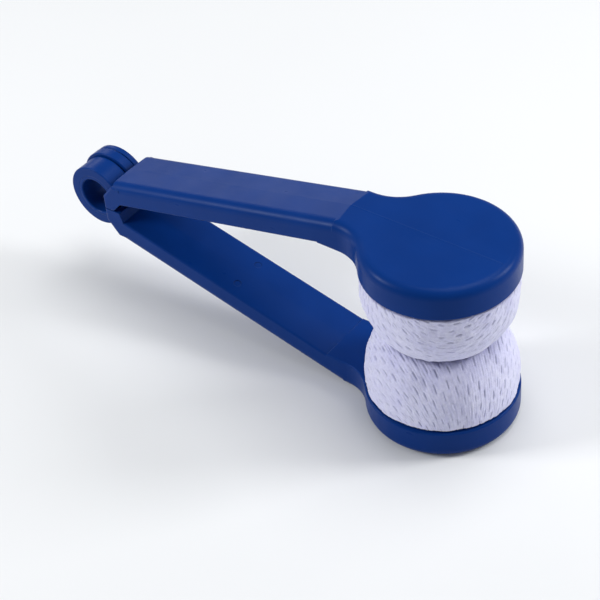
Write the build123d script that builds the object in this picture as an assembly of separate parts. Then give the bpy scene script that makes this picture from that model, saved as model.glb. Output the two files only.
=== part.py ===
from build123d import *
import os
from math import cos, radians, sin, tan

# Spectacle-lens cleaning tongs: two mirror-image arms, hinged at one end, that each carry
# a round microfibre pad. The frame has its origin in the middle of the hinge barrel,
# +X along the arms towards the pads, Y along the hinge axis and +Z up. The tongs are
# closed, with the two pads face to face at Z = 0. All sizes are in millimetres.

# Driving dimensions of the two arms
HEIGHT = 31.1  # from the outer face of one paddle to the outer face of the other
PADDLE_RADIUS = 11.5
PADDLE_THICKNESS = 4.8
PADDLE_X = 63.4  # hinge axis to the middle of the paddles
ARM_ANGLE = 13.2  # slope of each arm's inner face, whose middle line meets the hinge axis
BAR_WIDTH = 9.8
BAR_THICKNESS = 4.04  # square to the slope
BAR_END_X = 5.35  # where the bar stops short of the hinge barrel
CROWN = 0.15  # how far a crowned broad face rises to its middle line
NECK_RADIUS = 6.5  # hollow curve from the bar into the round paddle
BAR_ROUND = 1.6  # rounding along the bar's outer edges
PADDLE_ROUND = 1.45  # rounding along the paddle's outer rim
INNER_ROUND = 0.3  # rounding along the inner rim
SEAM_WIDTH = 0.3  # fine raised parting line on the upper paddle
SEAM_HEIGHT = 0.05
EJECTOR_X = 27.5  # shallow round marks that the mould's ejector pins leave
EJECTOR_Y = 2.6
EJECTOR_RADIUS = 0.6
EJECTOR_DEPTH = 0.08

# Hinge
FRONT_KNUCKLE_RADIUS = 5.2  # the long knuckle at -Y, on the lower arm
BACK_KNUCKLE_RADIUS = 5.65  # the short knuckle at +Y, also on the lower arm
MIDDLE_KNUCKLE_RADIUS = 5.7  # the middle knuckle, on the upper arm, stands proud
KNUCKLE_ROUND = 0.2
BARREL_LENGTH = 6.6
MIDDLE_START = 0.45  # the middle knuckle is not central: it lies between these two values of Y
MIDDLE_END = 2.2
KNUCKLE_GAP = 0.1
SLEEVE_RADIUS = 3.6
SLEEVE_BORE_RADIUS = 3.0
SLEEVE_CHAMFER = 0.15
RUNNING_CLEARANCE = 0.05
BODY_GAP = 0.25  # free space that an arm leaves round the other arm's knuckle
WEB_X = 4.0  # the webs that join the knuckles to the bars start inside the knuckles
WEB_TOP = 3.4
CHEEK_FRONT_X = 3.15  # the cheeks end here, just clear of the sleeve's bore
CHEEK_FRONT_TOP = 2.3
CHEEK_ROUND = 0.4
CHEEK_GAP = 0.15  # between an upper cheek and the end of the barrel
CHEEK_LAP = 1.5  # length of cheek or web that runs into the bar
MIDDLE_GAP = 0.1  # cheeks and webs stop this far from the middle plane
UPPER_CHEEK_REACH = 5.1
LOWER_CHEEK_REACH = 6.2

# Pads, with heights measured from the paddle's pad side
PAD_HALF_GAP = 0.15  # each pad's face stops this far from the middle plane
PAD_RADIUS = 11.5
PAD_BASE_RADIUS = 11.45
PAD_FACE_RADIUS = 6.5  # the flat where the two pads press on each other
PAD_SHOULDER = 8.0  # height over which the cloth curves from the flat to the side
PAD_LIFT = 0.1  # free height under the cloth where it crosses the paddle's rim
PAD_FLARE = 0.3
CLOTH = 0.6
HEM_INNER_RADIUS = 7.4
THREAD_RADIUS = 0.33
THREAD_GAP = 0.04
BACKING_RADIUS = 9.3
BACKING_THICKNESS = 1.3
BACKING_SINK = 0.9  # how far the backing disc sits below the paddle's mouth
STUD_RADIUS = 2.2
STUD_LENGTH = 1.5

# Recess in each paddle's pad side
SKIN = 2.0  # wall left under the recess
RECESS_RADIUS = 10.2
BOSS_RADIUS = 3.6
RIB_THICKNESS = 1.0
RIB_CLEARANCE = 0.2  # between the ribs and the cloth's hem
SOCKET_SPARE = 0.1  # free depth under the stud

# Derived sizes
HALF = HEIGHT / 2
SEAT = HALF - PADDLE_THICKNESS  # height of the paddle's pad side above the middle plane
HALF_WIDTH = BAR_WIDTH / 2
SLOPE = radians(ARM_ANGLE)
BAR_RISE = BAR_THICKNESS / cos(SLOPE)  # bar thickness measured along Z
BAR_TOP = BAR_END_X * tan(SLOPE) + BAR_RISE  # outer face at the bar's hinge end
CREASE_X = (HALF - BAR_RISE) / tan(SLOPE)  # where the sloping outer face turns level
INNER_CREASE_X = SEAT / tan(SLOPE)
REACH = PADDLE_X + PADDLE_RADIUS
PAD_HEIGHT = SEAT - PAD_HALF_GAP
RECESS_DEPTH = PADDLE_THICKNESS - SKIN
BARREL_HALF = BARREL_LENGTH / 2
FRONT_END = MIDDLE_START - KNUCKLE_GAP  # the front knuckle's end beside the middle one
BACK_START = MIDDLE_END + KNUCKLE_GAP
SIDES = (1, -1)


def block(x, y, z):
    """A box between two values of X, of Y and of Z."""
    size = (x[1] - x[0], y[1] - y[0], z[1] - z[0])
    return Pos(sum(x) / 2, sum(y) / 2, sum(z) / 2) * Box(*size)


def plate_along_y(face, start, end):
    """A face drawn in X and Z, extruded between two values of Y."""
    return extrude(Plane.XZ.offset(-start) * face, start - end)


def rod_along_y(radius, start, end):
    """A rod on the hinge axis between two values of Y."""
    return plate_along_y(Circle(radius), start, end)


def bar_plane():
    """Section plane of the bar: its x is +Y and its y is square to the sloping faces."""
    return Plane(origin=(0, 0, 0), x_dir=(0, 1, 0), z_dir=(cos(SLOPE), 0, sin(SLOPE)))


def bar(crown):
    """The sloping bar of the upper arm, with this crown on its outer face."""
    shoulder = BAR_THICKNESS - crown
    top = [(0, BAR_THICKNESS)] if crown else []
    section = make_face(Polyline(
        (0, 0), (HALF_WIDTH, CROWN), (HALF_WIDTH, shoulder), *top, (-HALF_WIDTH, shoulder),
        (-HALF_WIDTH, CROWN), close=True))
    for height, radius in ((shoulder, BAR_ROUND), (CROWN, INNER_ROUND)):
        corners = section.vertices().filter_by(
            lambda v: abs(v.X) > HALF_WIDTH - 0.01 and abs(v.Y - height) < 0.01)
        section = fillet(corners, radius)
    stretch = block((BAR_END_X, CREASE_X), (-REACH, REACH), (-HEIGHT, HEIGHT))
    return extrude(bar_plane() * section, 2 * REACH) & stretch


def under_outer_face(crown):
    """Everything below the bar's outer face and its continuation."""
    wide = 2 * PADDLE_RADIUS
    side = BAR_THICKNESS - crown * wide / HALF_WIDTH
    top = [(0, BAR_THICKNESS)] if crown else []
    section = make_face(Polyline((-wide, -HEIGHT), (wide, -HEIGHT), (wide, side), *top,
                                 (-wide, side), close=True))
    return extrude(bar_plane() * section, 2 * REACH)


def paddle(crown):
    """Round paddle of the upper arm with its neck, still solid."""
    start = INNER_CREASE_X
    length = PADDLE_X - start
    outline = Pos(start + length / 2, 0) * Rectangle(length, BAR_WIDTH)
    outline += Pos(PADDLE_X, 0) * Circle(PADDLE_RADIUS)
    hollows = outline.vertices().filter_by(lambda v: v.X > start + 1)
    outline = fillet(hollows, NECK_RADIUS)
    plate = extrude(Pos(0, 0, SEAT) * outline, PADDLE_THICKNESS)
    for height, radius in ((HALF, PADDLE_ROUND), (SEAT, INNER_ROUND)):
        rim = plate.edges().filter_by(
            lambda e: abs(e.center().Z - height) < 0.01 and e.center().X > start + 0.01)
        plate = fillet(rim, radius)
    beyond = block((CREASE_X, REACH + 1), (-REACH, REACH), (0, HEIGHT))
    under_bar = block((start, CREASE_X), (-REACH, REACH), (SEAT, SEAT + BAR_THICKNESS / 2))
    return (plate & beyond & under_outer_face(crown)) + (plate & under_bar)


def recess():
    """The hollow in the paddle's pad side, less the boss and the ribs that stay in it."""
    floor = SEAT + RECESS_DEPTH
    boss_height = RECESS_DEPTH - BACKING_SINK
    rib_height = boss_height - CLOTH - RIB_CLEARANCE
    hollow = Pos(0, 0, SEAT) * extrude(Circle(RECESS_RADIUS), RECESS_DEPTH)
    boss = Pos(0, 0, floor) * extrude(Circle(BOSS_RADIUS), -boss_height)
    rib = Pos(0, 0, floor - rib_height / 2) * Box(2 * RECESS_RADIUS, RIB_THICKNESS, rib_height)
    socket_depth = BACKING_SINK + STUD_LENGTH + SOCKET_SPARE
    socket = Pos(0, 0, SEAT) * extrude(Circle(STUD_RADIUS), socket_depth)
    return Pos(PADDLE_X, 0, 0) * (hollow - boss - rib - Rot(0, 0, 90) * rib + socket)


def seam():
    """Fine raised parting line along the middle of the paddle's outer face."""
    section = make_face(Polyline((-SEAM_WIDTH / 2, 0), (-SEAM_WIDTH / 2, -SEAM_WIDTH),
                                 (SEAM_WIDTH / 2, -SEAM_WIDTH), (SEAM_WIDTH / 2, 0),
                                 (0, SEAM_HEIGHT), close=True))
    start = Plane(origin=(CREASE_X, 0, HALF), x_dir=(0, 1, 0), z_dir=(1, 0, 0))
    return extrude(start * section, REACH - CREASE_X - PADDLE_ROUND)


def ejector_mark(side):
    """Shallow round dent in the bar's inner face."""
    depth = EJECTOR_DEPTH + CROWN * EJECTOR_Y / HALF_WIDTH
    along = EJECTOR_X / cos(SLOPE)
    pin = Rot(-90, 0, 0) * Cylinder(EJECTOR_RADIUS, 2 * depth)
    return bar_plane().location * Pos(side * EJECTOR_Y, 0, along) * pin


def cheek(reach, side, inside):
    """A lug of the upper arm from the bar's end to beside the barrel, outwards from inside."""
    shoulder = BAR_TOP - BAR_ROUND / 2
    inner_end = BAR_END_X + CHEEK_LAP
    slant = CHEEK_FRONT_X + (shoulder - CHEEK_FRONT_TOP) * tan(radians(40))
    outline = make_face(Polyline(
        (CHEEK_FRONT_X, MIDDLE_GAP), (reach, MIDDLE_GAP), (inner_end, BAR_RISE / 2),
        (inner_end, shoulder), (slant, shoulder), (CHEEK_FRONT_X, CHEEK_FRONT_TOP), close=True))
    lug = plate_along_y(outline, inside, HALF_WIDTH)
    front = lug.edges().filter_by(
        lambda e: abs(e.center().Y - HALF_WIDTH) < 0.01 and e.center().X < slant
        and e.center().Z > MIDDLE_GAP + 0.01)
    lug = fillet(front, CHEEK_ROUND)
    return lug if side > 0 else mirror(lug, Plane.XZ)


def knuckle(radius, start, end):
    """A solid hinge knuckle with rounded rims."""
    rod = rod_along_y(radius, start, end)
    return fillet(rod.edges().filter_by(GeomType.CIRCLE), KNUCKLE_ROUND)


def web(start, end):
    """The upper arm's bridge from a knuckle to the bar."""
    inner_end = BAR_END_X + CHEEK_LAP
    outline = make_face(Polyline(
        (WEB_X, MIDDLE_GAP), (BAR_END_X, MIDDLE_GAP), (inner_end, BAR_RISE / 2),
        (inner_end, WEB_TOP), (WEB_X, WEB_TOP), close=True))
    return plate_along_y(outline, start, end)


def plain_arm(crown):
    """What the two arms have in common, as the upper one, with this crown on its outer face."""
    arm = bar(crown) + paddle(crown)
    for side in SIDES:
        arm -= ejector_mark(side)
    return arm - recess()


def upper_arm():
    """The arm with the middle knuckle."""
    arm = plain_arm(CROWN) + seam()
    arm -= rod_along_y(BACK_KNUCKLE_RADIUS + BODY_GAP, MIDDLE_END, BARREL_HALF + CHEEK_GAP)
    for side in SIDES:
        arm += cheek(UPPER_CHEEK_REACH, side, BARREL_HALF + CHEEK_GAP)
    arm += web(MIDDLE_START, MIDDLE_END)
    arm += knuckle(MIDDLE_KNUCKLE_RADIUS, MIDDLE_START, MIDDLE_END)
    return arm - rod_along_y(SLEEVE_RADIUS + RUNNING_CLEARANCE, MIDDLE_START, MIDDLE_END)


def lower_arm():
    """The arm with the front and back knuckles, which hold the sleeve; its outer face is flat."""
    room = MIDDLE_KNUCKLE_RADIUS + BODY_GAP
    arm = plain_arm(0) - rod_along_y(room, FRONT_END, BACK_START)
    arm += cheek(LOWER_CHEEK_REACH, 1, BACK_START)
    arm += cheek(LOWER_CHEEK_REACH, -1, -FRONT_END)
    arm -= rod_along_y(SLEEVE_RADIUS, -BARREL_HALF, BARREL_HALF)
    for radius, start, end in ((FRONT_KNUCKLE_RADIUS, -BARREL_HALF, FRONT_END),
                               (BACK_KNUCKLE_RADIUS, BACK_START, BARREL_HALF)):
        arm += knuckle(radius, start, end) - rod_along_y(SLEEVE_RADIUS, start, end)
    return mirror(arm, Plane.XY)


def hinge_sleeve():
    """Hollow hinge pin, held in the lower arm's knuckles; the middle one turns on it."""
    tube = rod_along_y(SLEEVE_RADIUS, -BARREL_HALF, BARREL_HALF)
    tube -= rod_along_y(SLEEVE_BORE_RADIUS, -BARREL_HALF, BARREL_HALF)
    mouths = tube.edges().filter_by(
        lambda e: e.geom_type == GeomType.CIRCLE and e.radius < SLEEVE_BORE_RADIUS + 0.01)
    return chamfer(mouths, SLEEVE_CHAMFER)


def pad_shape(inset):
    """Solid outline of a pad, this far inside its outer surface, over the paddle's pad side."""
    top = PAD_HEIGHT - inset
    widest = PAD_RADIUS - inset
    across = widest - PAD_FACE_RADIUS
    down = PAD_SHOULDER - inset
    mouth = BACKING_RADIUS + CLOTH - inset
    lip = PAD_LIFT + inset / 2
    base = (PAD_BASE_RADIUS - inset, lip + PAD_FLARE)
    bottom = -BACKING_SINK - CLOTH + inset
    quarter = EllipticalCenterArc((PAD_FACE_RADIUS, top - down), across, down,
                                  start_angle=0, arc_size=90)
    side = TangentArc((widest, top - down), base, tangent=(0, -1))
    under = Polyline(base, (mouth, lip), (mouth, bottom), (0, bottom), (0, top),
                     (PAD_FACE_RADIUS, top))
    return revolve(Plane.XZ * make_face(quarter + side + under), Axis.Z)


def cloth_cover():
    """Microfibre cloth stretched over the foam, with its hem turned under the backing disc."""
    hem_hole = Pos(0, 0, -2 * BACKING_SINK) * extrude(Circle(HEM_INNER_RADIUS), 2 * BACKING_SINK)
    return pad_shape(0) - pad_shape(CLOTH) - hem_hole


def foam_core():
    """Soft foam between the backing disc and the cloth."""
    top_of_backing = BACKING_THICKNESS - BACKING_SINK
    below = block((-REACH, REACH), (-REACH, REACH), (-HEIGHT, top_of_backing))
    return pad_shape(CLOTH) - below


def gathering_thread():
    """Thread that draws the hem together under the backing disc."""
    across = HEM_INNER_RADIUS - THREAD_RADIUS - THREAD_GAP
    return Pos(0, 0, -BACKING_SINK - THREAD_RADIUS - THREAD_GAP) * Torus(across, THREAD_RADIUS)


def pad_backing():
    """Stiff disc behind the foam, with a stud that presses into the paddle's boss."""
    disc = Pos(0, 0, -BACKING_SINK) * extrude(Circle(BACKING_RADIUS), BACKING_THICKNESS)
    stud = Pos(0, 0, -BACKING_SINK) * extrude(Circle(STUD_RADIUS), -STUD_LENGTH)
    return disc + stud


def all_parts():
    """Every node of the tongs by name, in place."""
    parts = {"upper_arm": upper_arm(), "lower_arm": lower_arm(), "hinge_sleeve": hinge_sleeve()}
    for name, make in (("pad_backing", pad_backing), ("foam_core", foam_core),
                       ("cloth_cover", cloth_cover), ("gathering_thread", gathering_thread)):
        lower = Pos(PADDLE_X, 0, -SEAT) * make()
        parts["lower_" + name] = lower
        parts["upper_" + name] = mirror(lower, Plane.XY)
    return parts


if __name__ == "__main__":
    os.makedirs("parts", exist_ok=True)
    for name, part in all_parts().items():
        export_step(part, f"parts/{name}.step")
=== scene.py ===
"""Looks of the spectacle-lens cleaning tongs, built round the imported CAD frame.

The two arms, the hinge sleeve and the backing discs are the CAD nodes with moulded-plastic materials.
The soft pads are modelled here: a simulated microfibre cover with its pile, foam and twisted thread.
Lengths are in millimetres until they go into a mesh, a light or the camera, which are in metres.
"""

import math

import bpy
import numpy as np
from mathutils import Matrix, Vector


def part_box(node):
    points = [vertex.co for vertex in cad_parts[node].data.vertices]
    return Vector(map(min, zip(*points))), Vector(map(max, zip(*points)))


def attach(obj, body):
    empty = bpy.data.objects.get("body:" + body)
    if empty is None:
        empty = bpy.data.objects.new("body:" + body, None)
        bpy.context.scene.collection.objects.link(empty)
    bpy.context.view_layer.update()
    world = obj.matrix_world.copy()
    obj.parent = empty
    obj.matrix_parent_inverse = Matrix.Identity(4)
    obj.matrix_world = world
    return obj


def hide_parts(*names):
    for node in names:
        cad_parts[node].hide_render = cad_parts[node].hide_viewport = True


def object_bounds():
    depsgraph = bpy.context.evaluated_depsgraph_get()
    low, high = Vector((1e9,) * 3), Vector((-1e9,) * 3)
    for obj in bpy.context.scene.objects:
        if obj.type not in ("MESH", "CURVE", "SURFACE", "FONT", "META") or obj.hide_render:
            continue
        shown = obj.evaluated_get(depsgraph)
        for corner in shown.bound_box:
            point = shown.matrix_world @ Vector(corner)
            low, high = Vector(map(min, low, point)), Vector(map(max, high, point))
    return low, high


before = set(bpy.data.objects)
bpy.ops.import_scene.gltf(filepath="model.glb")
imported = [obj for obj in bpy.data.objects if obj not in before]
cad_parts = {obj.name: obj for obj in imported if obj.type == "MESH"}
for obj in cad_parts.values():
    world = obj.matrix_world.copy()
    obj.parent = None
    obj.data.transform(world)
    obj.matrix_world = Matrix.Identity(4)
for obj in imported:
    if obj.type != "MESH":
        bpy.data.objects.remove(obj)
cad_low, cad_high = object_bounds()

MM = 0.001

# Pad, with heights measured from the paddle's pad side towards the other pad
FACE_RADIUS = 6.5  # flat where the two pads press on each other
SHOULDER = 8.0  # height over which the cloth curves from the flat to the side
BASE_DRAW = 0.05  # how much less the radius is at the paddle than at its widest
LIP_RADIUS = 0.35  # roll of the cloth over its lower edge
LIP_HEIGHT = 0.04  # gap between the roll and the paddle's rim
HEM_DEPTH = 1.5  # how far the CAD cover reaches into the paddle's recess
MOUTH_RADIUS = 9.9  # the cloth turns down into the paddle's recess here
FOLD = 0.2  # size of the slanted folds at the recess's mouth and floor
HEM_HEIGHT = -1.2  # the hem lies this low in the recess
HEM_RADIUS = 7.6  # inner edge of the hem
CLOTH = 0.5  # thickness of the cloth
INNER_DROP = 0.2  # extra depth of the inner face, so that the slits stay clear of it
INNER_TURN = 0.4  # height where the inner face leaves the recess
BACK_STEPS = 8  # rings of points from the lip to the hem
INNER_FIRST = 0.09  # share of the way from the lip to the middle where the inner face starts
INNER_STEPS = 9  # places along the inner face from there to the middle
ARC_POINTS, SIDE_POINTS, LIP_POINTS = 32, 22, 12  # places on the shoulder, the side and the lip
NORMAL_REACH = 0.25  # the outline's direction is taken over this distance each way

# Microfibre pile, measured on the flat cloth
GRID_ACROSS = 0.1  # mesh spacing across the rows
GRID_ALONG = 0.22
ROW_PITCH = 0.5
ROW_HEIGHT = 0.045
ROW_WANDER, WANDER_SIZE = 0.3, (7, 9)  # slow sideways drift of the rows, and its size each way
ROW_SHAKE, SHAKE_SIZE = 0.12, (1.7, 2.6)  # quicker drift on top of it
TUFT_LENGTH = 0.7
TUFT_HEIGHT = 0.06
ROW_STRIDE, COLUMN_STRIDE = 7.31, 3.7  # steps in the noise, so that neighbouring rows differ
SWELL_HEIGHT, SWELL_SIZE = 0.12, (3.1, 3.6)  # low mounds over several rows
VALLEY_SHADE = 0.8  # how strongly the painted shade between two rows counts
SLIT_PITCH = 1.0  # open slits between tufts, in staggered columns
SLIT_SPACING = 3.5
SLIT_STRAY = 0.14  # slow shift along a column, as a share of the spacing
SLIT_OFFSET = 0.2  # a slit's own shift across, as a share of the pitch
SLIT_LEAN = 0.06  # how far a slit leans out of its column
SLIT_LENGTH = 1.7
SLIT_SHORTEST, SLIT_RANGE = 0.8, 0.3  # a slit's own length, as shares of SLIT_LENGTH
SLIT_SHALLOWEST = 0.5  # least depth, as a share of SLIT_DEPTH
SLIT_TAPER = 0.3  # length of a slit's closing end
SLIT_WIDTH = 0.12
SLIT_DEPTH = 0.16
PRESSED_PILE = 0.75  # share of the pile that is flattened on the pad's face
PRESSED_BLEND = 1.2  # width of the change at the edge of the face
TUCK = 0.5  # the pile fades out over this distance before the lip
FACE_SPARE = 0.1  # the pile stands no higher than this above the face

# Cloth simulation
SIM_SCALE = 20  # the solver works best on a pad about half a metre across
SIM_RINGS = 44
SIM_SEGMENTS = 96
SIM_START = 0.4  # distance of the first ring from the middle of the face
SIM_FRAMES = 20
SIM_CAP = 0.3  # no point moves further than this
SLACK = 0.22  # the cloth starts this far inside its form
UNEVEN, UNEVEN_ROUND, UNEVEN_ALONG = 0.16, 14, 4  # change of the slack, bumps round, bump length
HELD_BEYOND = 0.6  # the cloth is held from this far past the lip
PLATE_SIZE = 80
FACE_GAP = 0.02  # the other pad's plate lies this far above the face
RIM_GAP = 0.12  # the paddle's plate lies this far below the lip
SIM_GAP = 0.001  # between cloth and plate, in metres at the solver's scale

# Foam, measured like the pad
FOAM_FLOOR = 0.4
FOAM_INSET = CLOTH + 0.35  # from the cover's outer face to the foam
FOAM_START, FOAM_MIDDLE = 0.3, 0.5  # radii of the faces that close its top and its floor
FOAM_STOP = 1.0  # the foam's side ends this far before the lip
FOAM_EDGE = ((0.3, 0.1), (0.8, 0.0))  # steps in from the side and up from the floor, lower edge
FOAM_RINGS, FOAM_SEGMENTS = 70, 120
CELL_DEPTH = 0.08
CELLS_ROUND, CELL_RINGS = 60, 1.7  # dents round the foam, and rings of points to each dent

# Gathering thread
PLIES = 2
PLY_TURNS = 40
PLY_SHARE = 0.96  # radius of a ply as a share of its distance from the thread's middle
THREAD_STEPS, PLY_SIDES = 640, 8

PADS = {
    "lower": {"side": -1, "row_angle": -34.0, "seed": 11},
    "upper": {"side": 1, "row_angle": 40.0, "seed": 29},
}


def smooth(x):
    """0 to 1 with level ends."""
    x = np.clip(x, 0, 1)
    return x * x * (3 - 2 * x)


def noise(x, y, seed):
    """Smooth random values from -1 to 1, about one bump to each unit of x and y."""
    table = np.random.default_rng(seed).uniform(-1, 1, (256, 256))
    column, row = np.floor(x).astype(int), np.floor(y).astype(int)
    fx, fy = smooth(x - column), smooth(y - row)

    def corner(i, j):
        return table[(column + i) % 256, (row + j) % 256]

    near = corner(0, 0) * (1 - fx) + corner(1, 0) * fx
    far = corner(0, 1) * (1 - fx) + corner(1, 1) * fx
    return near * (1 - fy) + far * fy


def new_mesh(name, points, faces, material):
    """A smooth-shaded mesh object from points in millimetres."""
    mesh = bpy.data.meshes.new(name)
    mesh.from_pydata((np.asarray(points) * MM).tolist(), [], faces)
    mesh.polygons.foreach_set("use_smooth", [True] * len(mesh.polygons))
    mesh.materials.append(material)
    mesh.update()
    piece = bpy.data.objects.new(name, mesh)
    bpy.context.scene.collection.objects.link(piece)
    return piece


# ---------------------------------------------------------------- materials


class Shader:
    """A new material with short calls to add nodes to it."""

    def __init__(self, name):
        self.material = bpy.data.materials.new(name)
        self.material.use_nodes = True
        self.tree = self.material.node_tree
        self.main = self.tree.nodes["Principled BSDF"]

    def socket(self, node, name):
        """The node's input of that name, with _ for a space, or by its number, such as i7."""
        if name[0] == "i" and name[1:].isdigit():
            return node.inputs[int(name[1:])]
        return node.inputs[name.replace("_", " ")]

    def set(self, node, **values):
        """Sets or links a node's inputs."""
        for name, value in values.items():
            socket = self.socket(node, name)
            if isinstance(value, bpy.types.NodeSocket):
                self.tree.links.new(value, socket)
            else:
                socket.default_value = value

    def node(self, kind, options=None, **values):
        """A node of that kind with its options and inputs set."""
        node = self.tree.nodes.new("ShaderNode" + kind)
        for name, value in (options or {}).items():
            setattr(node, name, value)
        self.set(node, **values)
        return node

    def place(self, stretch=(1, 1, 1)):
        """Object coordinates in millimetres, stretched along each axis."""
        coordinates = self.node("TexCoord").outputs["Object"]
        scale = [1 / MM / s for s in stretch]
        return self.node("Mapping", Vector=coordinates, Scale=scale).outputs[0]

    def noise(self, size, detail=3.0, stretch=(1, 1, 1)):
        """Noise from 0 to 1 whose features are about size millimetres across."""
        return self.node("TexNoise", Vector=self.place(stretch), Scale=1 / size,
                         Detail=detail).outputs[0]

    def range(self, value, low, high, to_low, to_high):
        """value between low and high, mapped to to_low and to_high."""
        return self.node("MapRange", Value=value, From_Min=low, From_Max=high,
                         To_Min=to_low, To_Max=to_high).outputs[0]

    def mix(self, factor, a, b):
        """Colours a and b mixed."""
        node = self.node("Mix", {"data_type": "RGBA"})
        self.set(node, i0=factor, i6=a, i7=b)
        return node.outputs[2]

    def maths(self, operation, a, b):
        """One of Blender's math operations on two values."""
        return self.node("Math", {"operation": operation}, i0=a, i1=b).outputs[0]

    def bump(self, height, strength, distance, normal=None):
        """A normal from a height map, with distance in millimetres."""
        node = self.node("Bump", Height=height, Strength=strength, Distance=distance * MM)
        if normal:
            self.set(node, Normal=normal)
        return node.outputs[0]


def blue_plastic():
    """Semi-gloss moulded royal-blue plastic with flow marks, rubbed edges and painted shade in its
    corners and hinge bore.
    """
    s = Shader("blue_plastic")
    # Ambient occlusion: it paints shade, near black, into the colour in corners, creases and the
    # hinge bore, and roughens those hollows.
    open_to_light = s.node("AmbientOcclusion", {"samples": 16, "only_local": True},
                           Distance=5 * MM).outputs["AO"]
    open_to_light = s.range(open_to_light, 0.35, 0.82, 0.03, 1)
    flow = s.noise(9.0, 2)
    fine = s.noise(0.9, 4)
    colour = s.mix(s.range(flow, 0.35, 0.65, 0, 1),
                   (0.0020, 0.030, 0.180, 1), (0.0026, 0.034, 0.200, 1))
    bevelled = s.node("Bevel", {"samples": 6}, Radius=0.22 * MM).outputs[0]
    flat = s.node("NewGeometry").outputs["Normal"]
    alike = s.node("VectorMath", {"operation": "DOT_PRODUCT"}, i0=bevelled, i1=flat).outputs[1]
    edge = s.maths("MULTIPLY", s.range(alike, 0.995, 0.93, 0, 1), s.range(fine, 0.35, 0.7, 0.1, 1))
    colour = s.mix(s.maths("MULTIPLY", edge, 0.25), colour, (0.03, 0.10, 0.34, 1))
    # Painted shade: the colour goes almost black where little light reaches.
    colour = s.mix(open_to_light, (0.0004, 0.002, 0.020, 1), colour)
    streaks = s.noise(0.5, 3, (14, 1, 1))
    haze = s.noise(3.5, 5)
    rough = s.maths("ADD", s.range(haze, 0.3, 0.7, 0.27, 0.34),
                    s.range(streaks, 0.35, 0.7, 0, 0.05))
    rough = s.maths("ADD", rough, s.maths("MULTIPLY", edge, 0.08))
    rough = s.maths("ADD", rough, s.range(open_to_light, 0.1, 0.9, 0.35, 0))
    waves = s.bump(s.noise(3.0, 1, (5, 1, 1)), 0.25, 0.02, bevelled)
    s.set(s.main, Base_Color=colour, Roughness=rough, Normal=waves, IOR=1.48,
          Specular_IOR_Level=0.09, Specular_Tint=(0.70, 0.84, 1, 1))
    return s.material


def backing_plastic():
    """Plain off-white plastic with a moulded grain."""
    s = Shader("backing_plastic")
    colour = s.mix(s.noise(4.0), (0.76, 0.76, 0.77, 1), (0.84, 0.84, 0.86, 1))
    rough = s.range(s.noise(1.2, 4), 0.3, 0.7, 0.42, 0.6)
    s.set(s.main, Base_Color=colour, Roughness=rough,
          Normal=s.bump(s.noise(0.2, 2), 0.3, 0.02))
    return s.material


def foam():
    """Off-white open-cell foam."""
    s = Shader("foam")
    cells = s.node("TexVoronoi", {"feature": "F1"}, Vector=s.place(), Scale=2.2).outputs[0]
    colour = s.mix(s.range(cells, 0.1, 0.6, 0, 1), (0.5, 0.48, 0.42, 1), (0.82, 0.81, 0.75, 1))
    s.set(s.main, Base_Color=colour, Roughness=0.95, Sheen_Weight=0.2,
          Normal=s.bump(cells, 0.8, 0.15))
    return s.material


def microfibre():
    """Pale lavender-white microfibre: soft pile, with painted shade in its slits, between its rows
    and near the paddles, and a bright sheen.
    """
    s = Shader("microfibre")
    slit = s.node("Attribute", {"attribute_name": "slit"}).outputs["Fac"]
    valley_shade = s.node("Attribute", {"attribute_name": "valley_shade"}).outputs["Fac"]
    patches = s.range(s.noise(3.2, 3), 0.3, 0.7, 0, 1)
    mottle = s.range(s.noise(0.45, 3), 0.38, 0.62, 0, 0.3)
    colour = s.mix(patches, (0.69, 0.69, 0.93, 1), (0.76, 0.76, 0.97, 1))
    # Painted shade in the valleys between the rows of pile.
    colour = s.mix(s.maths("MULTIPLY", valley_shade, 0.16), colour, (0.46, 0.45, 0.66, 1))
    colour = s.mix(mottle, colour, (0.52, 0.51, 0.74, 1))
    # Painted shade: ambient occlusion darkens the cloth near the paddles and where the two pads meet.
    open_to_light = s.node("AmbientOcclusion", {"samples": 16}, Distance=5 * MM).outputs["AO"]
    painted_shade = s.range(open_to_light, 0.3, 0.85, 0.9, 0)
    colour = s.mix(painted_shade, colour, (0.27, 0.27, 0.43, 1))
    # Painted shade in the slits between the tufts, on top of their real depth.
    colour = s.mix(s.maths("MULTIPLY", slit, 0.42), colour, (0.27, 0.27, 0.42, 1))
    fibres = s.bump(s.noise(0.18, 5), 0.6, 0.13)
    s.set(s.main, Base_Color=colour, Roughness=0.92, Normal=fibres, Sheen_Weight=0.35,
          Sheen_Roughness=0.5, Sheen_Tint=(0.88, 0.89, 1, 1), Specular_IOR_Level=0.2,
          Subsurface_Weight=0.3, Subsurface_Radius=(0.6, 0.6, 0.8), Subsurface_Scale=0.7 * MM)
    return s.material


def thread():
    """Off-white twisted thread."""
    s = Shader("thread")
    colour = s.mix(s.noise(0.3), (0.66, 0.66, 0.72, 1), (0.8, 0.8, 0.85, 1))
    s.set(s.main, Base_Color=colour, Roughness=0.85, Sheen_Weight=0.3,
          Normal=s.bump(s.noise(0.08, 3), 0.5, 0.04))
    return s.material


def floor_paint():
    """Plain pale floor."""
    s = Shader("floor_paint")
    colour = s.mix(s.noise(60.0), (0.80, 0.81, 0.82, 1), (0.83, 0.84, 0.85, 1))
    s.set(s.main, Base_Color=colour, Roughness=0.8, Specular_IOR_Level=0.2)
    return s.material


# ---------------------------------------------------------------- pads


def arc(centre, radii, start, end, count):
    """Points of an elliptical arc in the plane of radius and height, with angles in degrees."""
    angles = np.radians(np.linspace(start, end, count))
    return np.array(centre) + np.array(radii) * np.stack([np.cos(angles), np.sin(angles)], 1)


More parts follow.
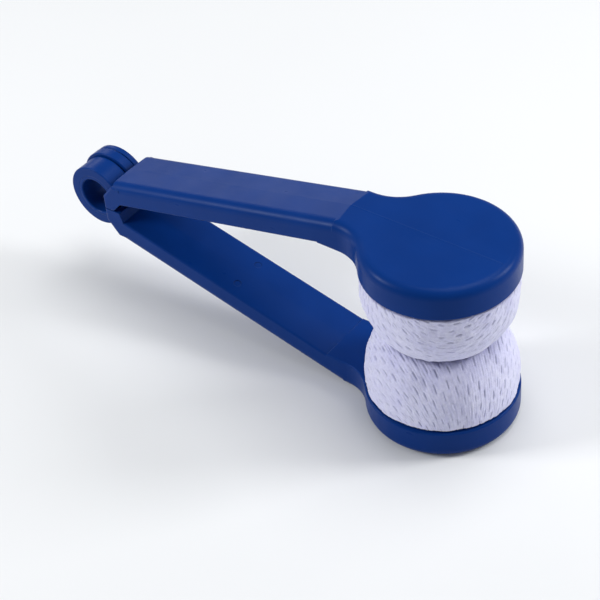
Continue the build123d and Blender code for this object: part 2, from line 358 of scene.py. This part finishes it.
class Profile:
    """Outline of a pad from the middle of its face, over the side and under to its hem."""

    def __init__(self, width, height):
        base = (width - BASE_DRAW - LIP_RADIUS, LIP_HEIGHT + LIP_RADIUS)
        side_top, side_low = height - SHOULDER, base[1]
        fall = np.linspace(0, 1, SIDE_POINTS + 2)[1:-1]
        side = np.stack([width - BASE_DRAW * fall**2, side_top + (side_low - side_top) * fall], 1)
        self.points = np.concatenate([
            [(0, height)],
            arc((FACE_RADIUS, side_top), (width - FACE_RADIUS, SHOULDER), 90, 0, ARC_POINTS),
            side,
            arc(base, (LIP_RADIUS, LIP_RADIUS), 0, -90, LIP_POINTS),
            [(MOUTH_RADIUS, LIP_HEIGHT), (MOUTH_RADIUS - FOLD, LIP_HEIGHT - FOLD)],
            [(MOUTH_RADIUS - FOLD, HEM_HEIGHT + FOLD), (MOUTH_RADIUS - 2 * FOLD, HEM_HEIGHT)],
            [(HEM_RADIUS, HEM_HEIGHT)],
        ])
        steps = np.linalg.norm(np.diff(self.points, axis=0), axis=1)
        self.at = np.concatenate([[0], np.cumsum(steps)])
        self.length = self.at[-1]
        self.lip_end = self.at[ARC_POINTS + SIDE_POINTS + LIP_POINTS]

    def radius_and_height(self, distance):
        """Where the outline is, this far along it."""
        return (np.interp(distance, self.at, self.points[:, 0]),
                np.interp(distance, self.at, self.points[:, 1]))

    def normal(self, distance):
        """Outward direction in radius and height, evened out over a short stretch."""
        r0, h0 = self.radius_and_height(np.clip(distance - NORMAL_REACH, 0, self.length))
        r1, h1 = self.radius_and_height(np.clip(distance + NORMAL_REACH, 0, self.length))
        along = np.hypot(r1 - r0, h1 - h0)
        return -(h1 - h0) / along, (r1 - r0) / along


def pad_profile():
    """The profile that fills the CAD cover's own box."""
    low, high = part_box("lower_cloth_cover")
    return Profile((high.x - low.x) / 2 / MM, high.z / MM - pad_seat())


def pad_seat():
    """Height of the lower paddle's pad side, which the CAD cover's hem lies below."""
    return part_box("lower_cloth_cover")[0].z / MM + HEM_DEPTH


def pad_centre():
    """Middle of the two pads in X and Y."""
    low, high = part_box("lower_cloth_cover")
    return np.array([(low.x + high.x) / 2 / MM, (low.y + high.y) / 2 / MM])


def polar_points(profile, distance, angle):
    """Points round the pad's axis at distances along the profile."""
    radius, height = profile.radius_and_height(distance)
    return np.stack([radius * np.cos(angle), radius * np.sin(angle), height], -1)


def sim_object(name, points, faces):
    """A mesh object for the simulation, from points in millimetres at the solver's scale."""
    mesh = bpy.data.meshes.new(name)
    mesh.from_pydata((points * MM * SIM_SCALE).tolist(), [], faces)
    piece = bpy.data.objects.new(name, mesh)
    bpy.context.scene.collection.objects.link(piece)
    return piece


def sim_plate(height):
    """A level plate that stops the cloth at that height."""
    place = (0, 0, height * MM * SIM_SCALE)
    bpy.ops.mesh.primitive_plane_add(size=PLATE_SIZE * MM * SIM_SCALE, location=place)
    plate = bpy.context.object
    plate.modifiers.new("Collision", "COLLISION")
    plate.collision.thickness_outer = SIM_GAP
    return plate


def make_cloth(piece, held_points):
    """Turns a mesh into stretchy cloth under pressure, held at the given points."""
    held = piece.vertex_groups.new(name="held")
    held.add(held_points, 1, "REPLACE")
    modifier = piece.modifiers.new("Cloth", "CLOTH")
    set_up = modifier.settings
    set_up.quality = 6
    set_up.mass = 0.3
    set_up.tension_stiffness = 12
    set_up.compression_stiffness = 12
    set_up.shear_stiffness = 5
    set_up.bending_stiffness = 0.8
    set_up.use_pressure = True
    set_up.uniform_pressure_force = 4
    set_up.vertex_group_mass = "held"
    set_up.effector_weights.gravity = 0
    modifier.collision_settings.distance_min = SIM_GAP
    modifier.collision_settings.use_self_collision = False


def settle(profile, seed):
    """How a stuffed cover settles: shifts of a grid of rings and segments, in millimetres.

    The cloth starts a little slack and uneven and is held at its hem. A pressure stands for the
    foam that pushes it out, and it meets two plates: the other pad's face and the paddle."""
    distance = np.linspace(SIM_START, profile.length, SIM_RINGS)[:, None]
    angle = np.linspace(0, 2 * math.pi, SIM_SEGMENTS, endpoint=False)[None, :]
    every_distance, every_angle = distance + 0 * angle, angle + 0 * distance
    flat = polar_points(profile, every_distance, every_angle)
    out_r, out_h = profile.normal(distance)
    out = np.stack([out_r * np.cos(angle), out_r * np.sin(angle), out_h + 0 * angle], -1)
    bump_round = every_angle * UNEVEN_ROUND / (2 * math.pi)
    uneven = noise(bump_round, every_distance / UNEVEN_ALONG, seed)
    start = flat - out * (SLACK + UNEVEN * uneven)[..., None]
    count = SIM_RINGS * SIM_SEGMENTS
    number = np.arange(count).reshape(SIM_RINGS, SIM_SEGMENTS)
    after = np.roll(number, -1, axis=1)
    faces = np.stack([number[:-1], number[1:], after[1:], after[:-1]], -1).reshape(-1, 4)
    cloth = sim_object("cloth", start.reshape(-1, 3), [tuple(number[0])] + faces.tolist())
    plates = [sim_plate(profile.points[0, 1] + FACE_GAP), sim_plate(LIP_HEIGHT - RIM_GAP)]
    held = number[distance[:, 0] > profile.lip_end + HELD_BEYOND]
    make_cloth(cloth, [int(n) for n in held.ravel()])
    scene = bpy.context.scene
    for number_of_frame in range(1, SIM_FRAMES + 1):
        scene.frame_set(number_of_frame)
    settled = cloth.evaluated_get(bpy.context.evaluated_depsgraph_get())
    end = np.zeros(count * 3)
    settled.data.vertices.foreach_get("co", end)
    shift = end.reshape(SIM_RINGS, SIM_SEGMENTS, 3) / MM / SIM_SCALE - flat
    size = np.linalg.norm(shift, axis=2, keepdims=True)
    shift *= np.minimum(1, SIM_CAP / np.maximum(size, 1e-9))
    for thing in [cloth, *plates]:
        bpy.data.objects.remove(thing)
    scene.frame_set(1)
    return shift


def sample(grid, rows, columns):
    """Smooth cubic reading of a grid that wraps round in its second direction."""
    row, column = np.floor(rows).astype(int), np.floor(columns).astype(int)

    def weights(t):
        return np.stack([(1 - t) ** 3, 3 * t**3 - 6 * t**2 + 4,
                         -3 * t**3 + 3 * t**2 + 3 * t + 1, t**3]) / 6

    across, down = weights(columns - column), weights(rows - row)
    total = 0
    for i in range(4):
        for j in range(4):
            value = grid[np.clip(row + i - 1, 0, len(grid) - 1), (column + j - 1) % grid.shape[1]]
            total = total + value * (down[i] * across[j])[..., None]
    return total


def bumps(across, along, size, seed):
    """Noise on the flat cloth with bumps of that size across and along the rows."""
    return noise(across / size[0], along / size[1], seed)


def pile(across, along, seed):
    """Height of the pile in millimetres, with how deep in a slit each place is and how much painted
    shade lies between the rows there.
    """
    across = across + ROW_WANDER * bumps(across, along, WANDER_SIZE, seed)
    across = across + ROW_SHAKE * bumps(across, along, SHAKE_SIZE, seed + 1)
    row = np.floor(across / ROW_PITCH)
    rib = np.sqrt(np.sin(math.pi * (across / ROW_PITCH - row)))
    tuft = noise(row * ROW_STRIDE, along / TUFT_LENGTH, seed + 2)
    swell = bumps(across, along, SWELL_SIZE, seed + 3)
    column = np.floor(across / SLIT_PITCH)
    random = np.random.default_rng(seed + 4).uniform(0, 1, (128, 128, 3))
    stray = SLIT_STRAY * noise(column * COLUMN_STRIDE, along / WANDER_SIZE[1], seed + 5)
    place = along / SLIT_SPACING + 0.5 * (column % 2) + stray
    number = np.floor(place)
    own = random[column.astype(int) % 128, number.astype(int) % 128]
    from_middle = place - number - 0.5
    off = across - (column + 0.5 + SLIT_OFFSET * (own[..., 0] - 0.5)) * SLIT_PITCH
    off = off - SLIT_LEAN * from_middle * (own[..., 2] - 0.5) * SLIT_SPACING
    half = SLIT_LENGTH * (SLIT_SHORTEST + SLIT_RANGE * own[..., 1]) / 2
    closing = smooth((half - np.abs(from_middle) * SLIT_SPACING) / SLIT_TAPER)
    depth = SLIT_SHALLOWEST + (1 - SLIT_SHALLOWEST) * own[..., 2]
    slit = np.exp(-((off / SLIT_WIDTH) ** 2)) * closing * depth
    height = ROW_HEIGHT * rib + TUFT_HEIGHT * tuft + SWELL_HEIGHT * swell
    return height - SLIT_DEPTH * slit, slit, (1 - rib) * VALLEY_SHADE


def spread(limit, spacing):
    """Evenly spaced places that reach limit, or just past it, on both sides of 0."""
    count = math.ceil(limit / spacing)
    return np.arange(-count, count + 1) * spacing


def cloth_grid(limit):
    """Cells of flat cloth inside a circle, with the outermost points drawn out onto it."""
    u, v = np.meshgrid(spread(limit, GRID_ACROSS), spread(limit, GRID_ALONG), indexing="ij")
    inside = np.hypot(u, v) <= limit
    whole = inside[:-1, :-1] & inside[1:, :-1] & inside[1:, 1:] & inside[:-1, 1:]
    number = np.arange(u.size).reshape(u.shape)
    faces = np.stack([number[:-1, :-1][whole], number[1:, :-1][whole],
                      number[1:, 1:][whole], number[:-1, 1:][whole]], 1)
    edges = np.concatenate([faces[:, [i, (i + 1) % 4]] for i in range(4)])
    key = np.sort(edges, axis=1)
    _, first, times = np.unique(key, axis=0, return_index=True, return_counts=True)
    rim = np.unique(edges[first[times == 1]])
    used = np.unique(faces)
    renumber = np.full(u.size, -1)
    renumber[used] = np.arange(len(used))
    points = np.stack([u.ravel()[used], v.ravel()[used]], 1)
    rim = renumber[rim]
    rim = rim[np.argsort(np.arctan2(points[rim, 1], points[rim, 0]))]
    points[rim] *= (limit / np.hypot(*points[rim].T))[:, None]
    return points, renumber[faces], rim


def rings(loop, first, count):
    """Faces that join a loop of points to count rings of new points, numbered from first."""
    size = len(loop)
    rows = [np.asarray(loop)] + [first + k * size + np.arange(size) for k in range(count)]
    faces = []
    for upper, lower in zip(rows, rows[1:]):
        faces.append(np.stack([upper, lower, np.roll(lower, -1), np.roll(upper, -1)], 1))
    return np.concatenate(faces), rows[-1]


def at_height(radius, height, angle):
    """A ring of points, one at each angle."""
    level = np.full(len(angle), height)
    return np.stack([radius * np.cos(angle), radius * np.sin(angle), level], 1)


def inner_outline(profile):
    """Radius and height of the cloth's inner face, from the hem to the middle."""
    deep = CLOTH + INNER_DROP
    path = [(HEM_RADIUS, HEM_HEIGHT + CLOTH),
            (MOUTH_RADIUS - 2 * FOLD - CLOTH, HEM_HEIGHT + CLOTH),
            (MOUTH_RADIUS - FOLD - CLOTH, INNER_TURN)]
    for share in np.linspace(INNER_FIRST, 1, INNER_STEPS):
        distance = profile.lip_end * (1 - share)
        r, h = profile.radius_and_height(distance)
        out_r, out_h = profile.normal(distance)
        path.append((r - out_r * deep, h - out_h * deep))
    return path


def cover_shape(profile, shift, row_angle, seed):
    """Points, faces and shading of one pad's cover, face up, round the pad's axis."""
    limit = profile.lip_end
    flat, faces, rim = cloth_grid(limit)
    distance = np.hypot(*flat.T)
    turn = math.radians(row_angle) - math.pi / 2
    angle = np.arctan2(flat[:, 1], flat[:, 0]) + turn
    height, slit, valley_shade = pile(flat[:, 0], flat[:, 1], seed)

    row = (distance - SIM_START) / (profile.length - SIM_START) * (SIM_RINGS - 1)
    column = angle / (2 * math.pi) * SIM_SEGMENTS
    form = polar_points(profile, distance, angle) + sample(shift, np.maximum(row, 0), column)
    face_end = FACE_RADIUS + PRESSED_BLEND / 2
    pressed = 1 - PRESSED_PILE * smooth((face_end - distance) / PRESSED_BLEND)
    tucked = smooth((limit - distance) / TUCK)
    out_r, out_h = profile.normal(distance)
    out = np.stack([out_r * np.cos(angle), out_r * np.sin(angle), out_h], 1)
    top = form + out * ((height - ROW_HEIGHT) * pressed * tucked)[:, None]
    top[:, 2] = np.minimum(top[:, 2], profile.points[0, 1] + FACE_SPARE)

    rim_angle = angle[rim]
    down = profile.length - limit
    under = [polar_points(profile, np.full(len(rim), limit + down * k / BACK_STEPS), rim_angle)
             for k in range(1, BACK_STEPS + 1)]
    *outline, (_, middle_height) = inner_outline(profile)
    skirt = under + [at_height(r, h, rim_angle) for r, h in outline]
    skirt_faces, last = rings(rim, len(top), len(skirt))
    points = np.concatenate([top] + skirt + [[(0, 0, middle_height)]])
    cap = np.stack([last, np.full(len(last), len(points) - 1), np.roll(last, -1)], 1)
    plain = np.zeros(len(points) - len(top))
    return (points, faces.tolist() + skirt_faces.tolist() + cap.tolist(),
            np.concatenate([slit * tucked, plain]), np.concatenate([valley_shade * tucked, plain]))


def onto_pad(points, side):
    """From a pad's own place, face up, to the lower (side -1) or upper pad of the tongs."""
    x, y = pad_centre()
    placed = points + np.array([x, y, pad_seat()])
    return placed * np.array([1, 1, -side])


def facing(faces, side):
    """Faces turned round where the upper pad's mirroring would turn them inside out."""
    return [f[::-1] for f in faces] if side > 0 else faces


def shade(piece, name, values):
    """A number at each point for the material to read."""
    attribute = piece.data.attributes.new(name, "FLOAT", "POINT")
    attribute.data.foreach_set("value", np.asarray(values, np.float32))


def make_cover(name, profile, shift, facts, material):
    """The microfibre cover of one pad."""
    side = facts["side"]
    points, faces, slit, valley_shade = cover_shape(profile, shift, facts["row_angle"], facts["seed"])
    points, faces = onto_pad(points, side), facing(faces, side)
    piece = new_mesh(f"{name}_microfibre_cover", points, faces, material)
    shade(piece, "slit", slit)
    shade(piece, "valley_shade", valley_shade)
    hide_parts(f"{name}_cloth_cover")
    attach(piece, f"{name}_arm")


def foam_outline(profile):
    """Radius and height of the foam, from the middle of its face to the middle of its floor."""
    distance = np.linspace(FOAM_START, profile.lip_end - FOAM_STOP, FOAM_RINGS)
    radius, height = profile.radius_and_height(distance)
    out_r, out_h = profile.normal(distance)
    path = np.stack([radius - out_r * FOAM_INSET, height - out_h * FOAM_INSET], 1)
    edge = [(path[-1, 0] - inward, FOAM_FLOOR + up) for inward, up in FOAM_EDGE]
    return np.concatenate([path, edge + [(FOAM_MIDDLE, FOAM_FLOOR)]])


def make_foam(name, profile, facts, material):
    """The foam inside one pad, with its open cells as shallow dents."""
    side = facts["side"]
    path = foam_outline(profile)
    ring = np.arange(len(path))[:, None]
    angle = np.linspace(0, 2 * math.pi, FOAM_SEGMENTS, endpoint=False)
    cell_round = angle * CELLS_ROUND / (2 * math.pi) + 0 * ring
    cells = noise(ring / CELL_RINGS + 0 * angle, cell_round, facts["seed"] + 9)
    radius = path[:, :1] - CELL_DEPTH * np.abs(cells)
    height = path[:, 1:] + 0 * angle
    points = np.stack([radius * np.cos(angle), radius * np.sin(angle), height], -1)
    number = np.arange(len(path) * FOAM_SEGMENTS).reshape(len(path), FOAM_SEGMENTS)
    after = np.roll(number, -1, axis=1)
    faces = np.stack([number[:-1], number[1:], after[1:], after[:-1]], -1).reshape(-1, 4).tolist()
    faces += [number[0].tolist(), number[-1][::-1].tolist()]
    points, faces = onto_pad(points.reshape(-1, 3), side), facing(faces, side)
    piece = new_mesh(f"{name}_foam", points, faces, material)
    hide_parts(f"{name}_foam_core")
    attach(piece, f"{name}_arm")


def make_thread(name, material):
    """Plies twisted round each other along the gathered hem."""
    low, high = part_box(f"{name}_gathering_thread")
    thick = (high.z - low.z) / 2 / MM
    ring = (high.x - low.x) / 2 / MM - thick
    middle = (low.z + high.z) / 2 / MM
    away = thick * 0.5
    ply = away * PLY_SHARE
    x, y = pad_centre()
    t = np.linspace(0, 2 * math.pi, THREAD_STEPS, endpoint=False)[:, None]
    around = np.linspace(0, 2 * math.pi, PLY_SIDES, endpoint=False)[None, :]
    points, faces = [], []
    for strand in range(PLIES):
        phase = PLY_TURNS * t + strand * 2 * math.pi / PLIES
        r = ring + away * np.cos(phase) + ply * np.cos(around)
        z = middle + away * np.sin(phase) + ply * np.sin(around)
        points.append(np.stack([x + r * np.cos(t), y + r * np.sin(t), z], -1).reshape(-1, 3))
        size = THREAD_STEPS * PLY_SIDES
        number = np.arange(size).reshape(THREAD_STEPS, PLY_SIDES) + strand * size
        ahead, over = np.roll(number, -1, axis=0), np.roll(number, -1, axis=1)
        corners = [number, ahead, np.roll(ahead, -1, axis=1), over]
        faces += np.stack(corners, -1).reshape(-1, 4).tolist()
    piece = new_mesh(f"{name}_thread", np.concatenate(points), faces, material)
    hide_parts(f"{name}_gathering_thread")
    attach(piece, f"{name}_arm")


def make_pads():
    """Covers, foam and thread of both pads."""
    profile = pad_profile()
    pile_look, foam_look, thread_look = microfibre(), foam(), thread()
    for name, facts in PADS.items():
        shift = settle(profile, facts["seed"])
        make_cover(name, profile, shift, facts, pile_look)
        make_foam(name, profile, facts, foam_look)
        make_thread(name, thread_look)


# ---------------------------------------------------------------- CAD nodes


def finish_plastics():
    """Gives the CAD nodes that stay their moulded-plastic materials."""
    blue, white = blue_plastic(), backing_plastic()
    for name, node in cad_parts.items():
        material = white if "backing" in name else blue
        for place in node.material_slots:
            place.material = material


# ---------------------------------------------------------------- stage


CAMERA_AZIMUTH = 40.24
CAMERA_ELEVATION = 40.67
CAMERA_ROLL = -5.49
CAMERA_DISTANCE = 255.9
CAMERA_LENS = 100.3
SENSOR_WIDTH = 36
CAMERA_TARGET = (37.57, 0.0, -7.28)
FLOOR_SIZE = 6000
WORLD_COLOUR = (0.86, 0.89, 0.93, 1)
WORLD_STRENGTH = 0.30


def directions(azimuth, elevation):
    """Right, up and back of a camera that looks at the object from there."""
    a, e = math.radians(azimuth), math.radians(elevation)
    right = Vector((math.cos(a), math.sin(a), 0))
    up = Vector((-math.sin(a) * math.sin(e), math.cos(a) * math.sin(e), math.cos(e)))
    back = Vector((math.sin(a) * math.cos(e), -math.cos(a) * math.cos(e), math.sin(e)))
    return right, up, back


def make_camera():
    """The camera, rolled a little about its own axis."""
    right, up, back = directions(CAMERA_AZIMUTH, CAMERA_ELEVATION)
    roll = math.radians(CAMERA_ROLL)
    across = right * math.cos(roll) + up * math.sin(roll)
    upward = up * math.cos(roll) - right * math.sin(roll)
    data = bpy.data.cameras.new("camera")
    data.lens = CAMERA_LENS
    data.sensor_width = SENSOR_WIDTH
    data.clip_start = 0.01
    camera = bpy.data.objects.new("camera", data)
    bpy.context.scene.collection.objects.link(camera)
    turn = Matrix((across, upward, back)).transposed().to_4x4()
    place = (Vector(CAMERA_TARGET) + back * CAMERA_DISTANCE) * MM
    camera.matrix_world = Matrix.Translation(place) @ turn
    bpy.context.scene.camera = camera


def softbox(name, azimuth, elevation, distance, width, height, power):
    """A rectangular white light aimed at the middle of the object, with its power in watts."""
    right, up, back = directions(azimuth, elevation)
    middle = (cad_low + cad_high) / 2
    data = bpy.data.lights.new(name, "AREA")
    data.shape = "RECTANGLE"
    data.size, data.size_y = width * MM, height * MM
    data.energy = power
    light = bpy.data.objects.new(name, data)
    bpy.context.scene.collection.objects.link(light)
    turn = Matrix((right, up, back)).transposed().to_4x4()
    light.matrix_world = Matrix.Translation(middle + back * distance * MM) @ turn


def make_stage():
    """Floor, surrounding light and softboxes."""
    bpy.ops.mesh.primitive_plane_add(size=FLOOR_SIZE * MM, location=(0, 0, cad_low.z))
    floor = bpy.context.object
    floor.name = "floor"
    floor.data.materials.append(floor_paint())
    world = bpy.data.worlds.new("world")
    world.use_nodes = True
    background = world.node_tree.nodes["Background"]
    background.inputs["Color"].default_value = WORLD_COLOUR
    background.inputs["Strength"].default_value = WORLD_STRENGTH
    bpy.context.scene.world = world
    bpy.context.scene.view_settings.view_transform = "Standard"
    softbox("top", azimuth=150, elevation=72, distance=450, width=300, height=300, power=1.0)
    softbox("left", azimuth=-50, elevation=30, distance=420, width=110, height=130, power=0.92)
    softbox("right", azimuth=129, elevation=31, distance=420, width=110, height=130, power=0.80)
    softbox("back", azimuth=-128, elevation=20, distance=420, width=200, height=110, power=0.14)


finish_plastics()
make_pads()
make_camera()
make_stage()
